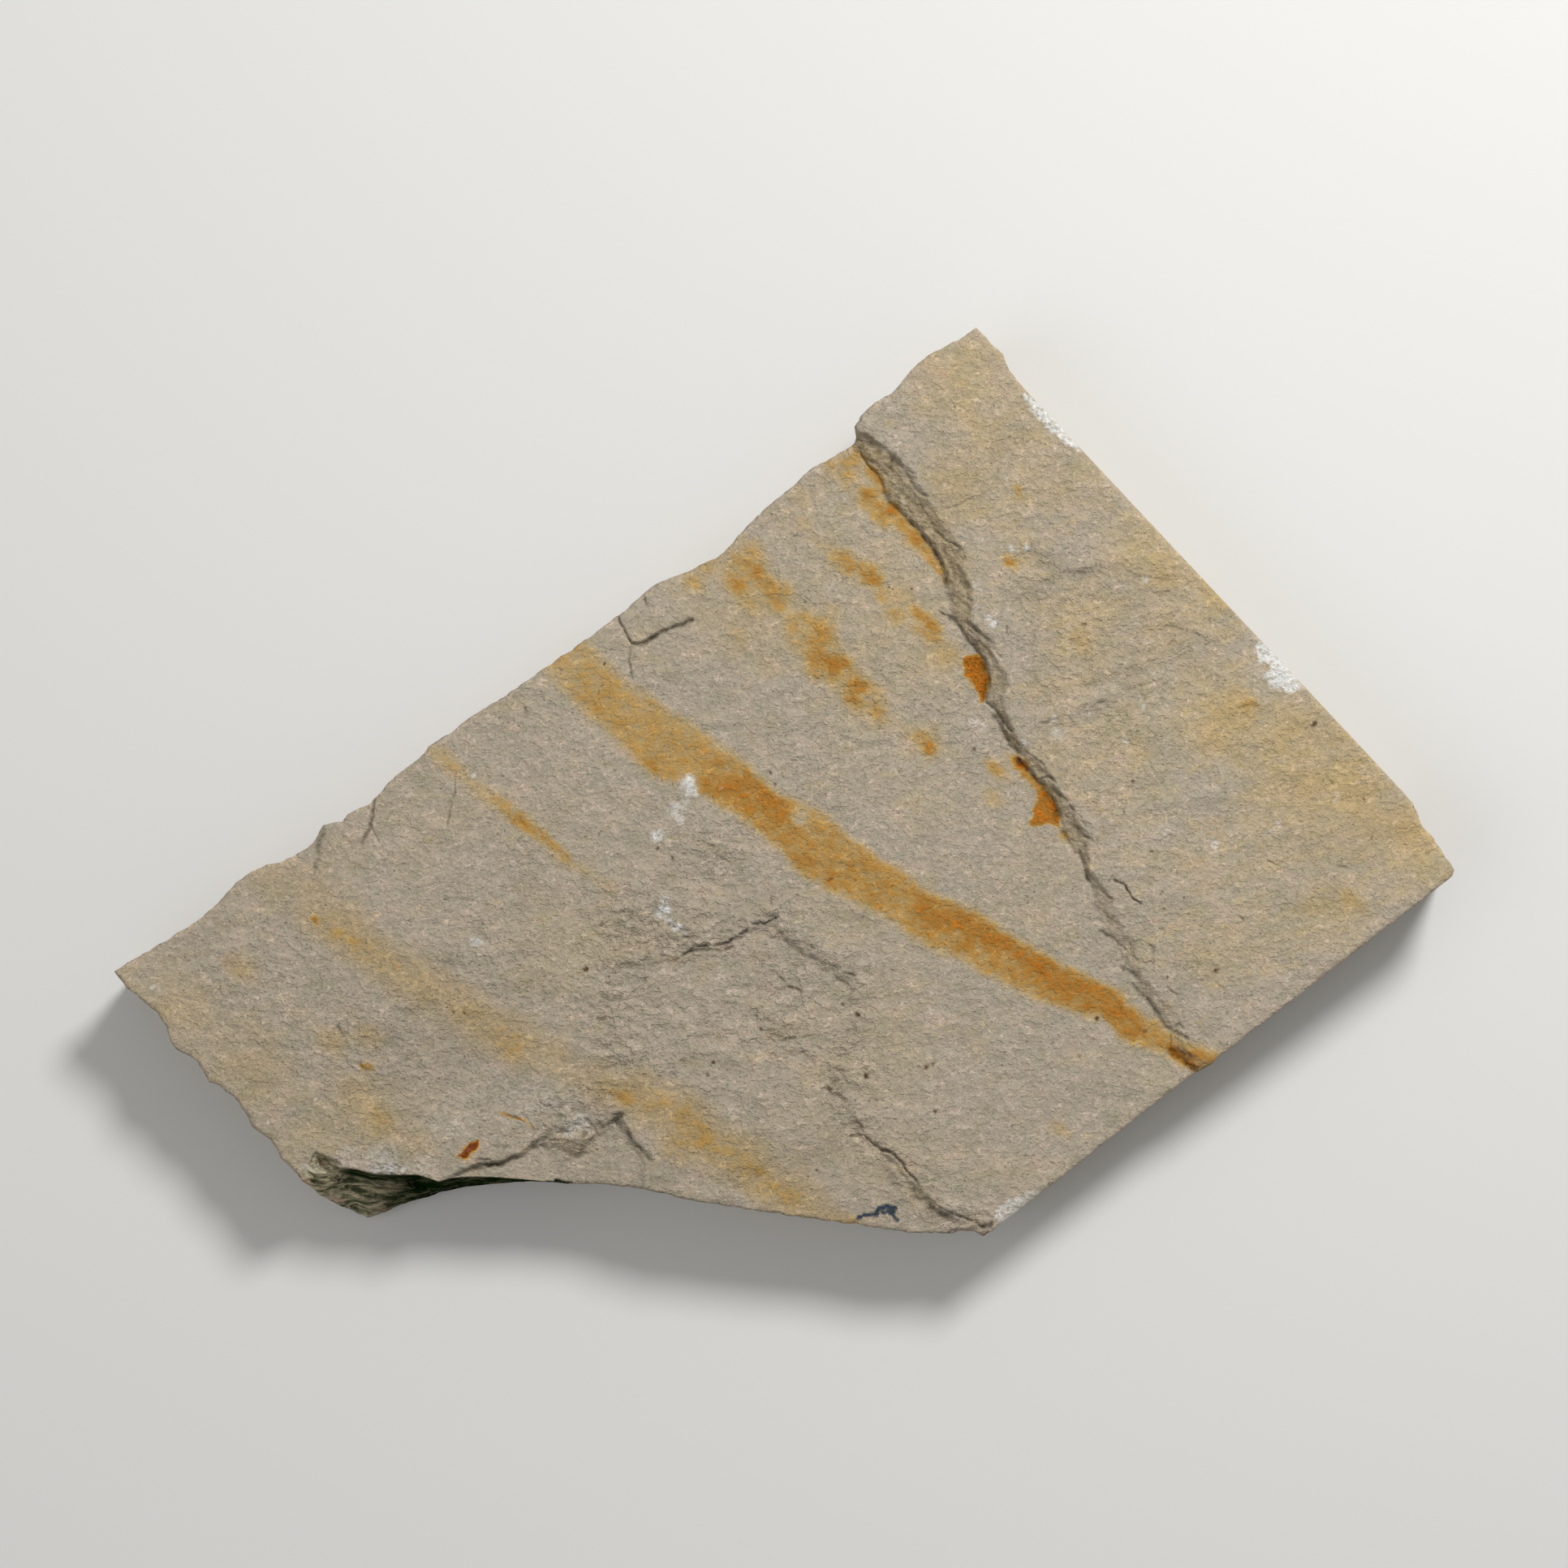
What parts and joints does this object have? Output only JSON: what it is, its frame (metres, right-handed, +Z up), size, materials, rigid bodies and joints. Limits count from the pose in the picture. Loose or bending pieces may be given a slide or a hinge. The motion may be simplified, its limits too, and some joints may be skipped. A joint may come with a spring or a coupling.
{
  "type": "limestone fossil slab",
  "caption": "Flat slab of platy tan limestone matrix, broken on three sides and sawn on two, with a stepped upper layer, shallow flake scars and orange iron-stain bands.",
  "frame": {"origin": "centre of the slab's footprint, on the surface that it lies on", "axes": "+X along the slab's length from its pointed tip to its right corner, +Y across it towards the upper corner, +Z up through its thickness, out of the stepped face"},
  "size_m": [0.1322, 0.0896, 0.0117],
  "materials": {
    "stone": "dry matte, fine-grained, tan grey with orange-brown iron stains"
  },
  "bodies": {
    "root": {"slab": "stone"}
  },
  "joints": []
}
